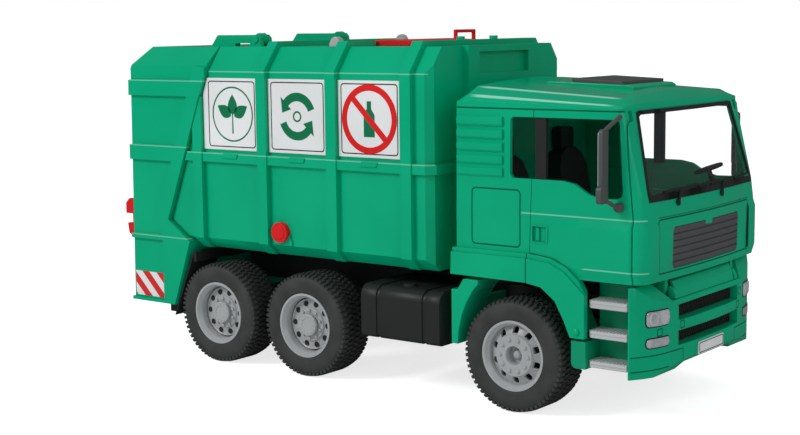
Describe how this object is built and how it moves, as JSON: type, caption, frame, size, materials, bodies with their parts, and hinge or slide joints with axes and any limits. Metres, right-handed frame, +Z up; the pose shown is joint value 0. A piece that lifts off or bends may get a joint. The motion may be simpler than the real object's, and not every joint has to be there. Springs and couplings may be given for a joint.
{
  "type": "toy refuse collection truck",
  "caption": "Toy refuse truck with a tilting cab, opening doors, ribbed container with a sliding roof lid, hinged tailgate, rear bin lift and three axles.",
  "frame": {"origin": "middle of the bounding box on the ground under the wheels", "axes": "+X forward along the truck, +Y to its left, +Z up"},
  "size_m": [0.506, 0.216, 0.2625],
  "materials": {
    "green_plastic": "gloss",
    "dark_green_plastic": "satin",
    "red_plastic": "gloss",
    "black_plastic": "matte",
    "grey_plastic": "satin",
    "silver_plastic": "satin",
    "white_plastic": "gloss",
    "lens_plastic": "gloss",
    "clear_plastic": "gloss",
    "tyre_rubber": "matte"
  },
  "bodies": {
    "chassis": {"ladder_frame": "grey_plastic", "front_axle": "grey_plastic", "rear_axles": "grey_plastic", "engine_block": "grey_plastic", "fuel_tank": "black_plastic", "side_tank": "black_plastic", "mudguards": "green_plastic", "mudflaps": "black_plastic", "front_bumper": "green_plastic", "headlamps": "lens_plastic", "bumper_mesh": "black_plastic", "step_flap": "green_plastic", "step_wells": "dark_green_plastic", "step_treads": "silver_plastic", "container": "green_plastic", "sign_panels": "white_plastic", "side_knobs": "red_plastic", "roof_lugs": "silver_plastic"},
    "lid": {"roof_lid": "red_plastic"},
    "tailgate": {"tailgate": "green_plastic", "underrun_bar": "black_plastic"},
    "lift": {"bin_lift": "red_plastic"},
    "cab": {"cab_shell": "green_plastic", "cab_roof": "green_plastic", "roof_hatch": "black_plastic", "windscreen": "clear_plastic", "grille": "black_plastic", "dashboard": "black_plastic", "steering_wheel": "black_plastic", "seats": "black_plastic"},
    "door_right": {"door_right": "green_plastic", "door_post_right": "black_plastic", "door_mirror_right": "black_plastic"},
    "door_left": {"door_left": "green_plastic", "door_post_left": "black_plastic", "door_mirror_left": "black_plastic"},
    "wheel_front_right": {"tyre_front_right": "tyre_rubber", "rim_front_right": "silver_plastic"},
    "wheel_front_left": {"tyre_front_left": "tyre_rubber", "rim_front_left": "silver_plastic"},
    "wheel_middle_right": {"tyre_middle_right": "tyre_rubber", "rim_middle_right": "silver_plastic"},
    "wheel_middle_left": {"tyre_middle_left": "tyre_rubber", "rim_middle_left": "silver_plastic"},
    "wheel_rear_right": {"tyre_rear_right": "tyre_rubber", "rim_rear_right": "silver_plastic"},
    "wheel_rear_left": {"tyre_rear_left": "tyre_rubber", "rim_rear_left": "silver_plastic"}
  },
  "joints": [
    {"name": "lid_slide", "type": "slide", "parent": "chassis", "child": "lid", "axis": [-1, 0, 0], "range_m": [0, 0.03]},
    {"name": "tailgate_hinge", "type": "hinge", "parent": "chassis", "child": "tailgate", "pos_m": [-0.1155, 0, 0.2565], "axis": [0, 1, 0], "range_deg": [0, 80]},
    {"name": "lift_hinge", "type": "hinge", "parent": "tailgate", "child": "lift", "pos_m": [-0.2345, 0, 0.119], "axis": [0, 1, 0], "range_deg": [0, 100]},
    {"name": "cab_tilt", "type": "hinge", "parent": "chassis", "child": "cab", "pos_m": [0.239, 0, 0.09], "axis": [0, 1, 0], "range_deg": [0, 50]},
    {"name": "door_right_hinge", "type": "hinge", "parent": "cab", "child": "door_right", "pos_m": [0.2355, -0.0866, 0.15], "axis": [0, 0, 1], "range_deg": [0, 65]},
    {"name": "door_left_hinge", "type": "hinge", "parent": "cab", "child": "door_left", "pos_m": [0.2355, 0.0866, 0.15], "axis": [0, 0, -1], "range_deg": [0, 65]},
    {"name": "wheel_front_right_turn", "type": "hinge", "parent": "chassis", "child": "wheel_front_right", "pos_m": [0.148, -0.076, 0.04], "axis": [0, 1, 0], "continuous": true},
    {"name": "wheel_front_left_turn", "type": "hinge", "parent": "chassis", "child": "wheel_front_left", "pos_m": [0.148, 0.076, 0.04], "axis": [0, 1, 0], "continuous": true},
    {"name": "wheel_middle_right_turn", "type": "hinge", "parent": "chassis", "child": "wheel_middle_right", "pos_m": [-0.04, -0.076, 0.04], "axis": [0, 1, 0], "continuous": true},
    {"name": "wheel_middle_left_turn", "type": "hinge", "parent": "chassis", "child": "wheel_middle_left", "pos_m": [-0.04, 0.076, 0.04], "axis": [0, 1, 0], "continuous": true},
    {"name": "wheel_rear_right_turn", "type": "hinge", "parent": "chassis", "child": "wheel_rear_right", "pos_m": [-0.131, -0.076, 0.04], "axis": [0, 1, 0], "continuous": true},
    {"name": "wheel_rear_left_turn", "type": "hinge", "parent": "chassis", "child": "wheel_rear_left", "pos_m": [-0.131, 0.076, 0.04], "axis": [0, 1, 0], "continuous": true}
  ]
}
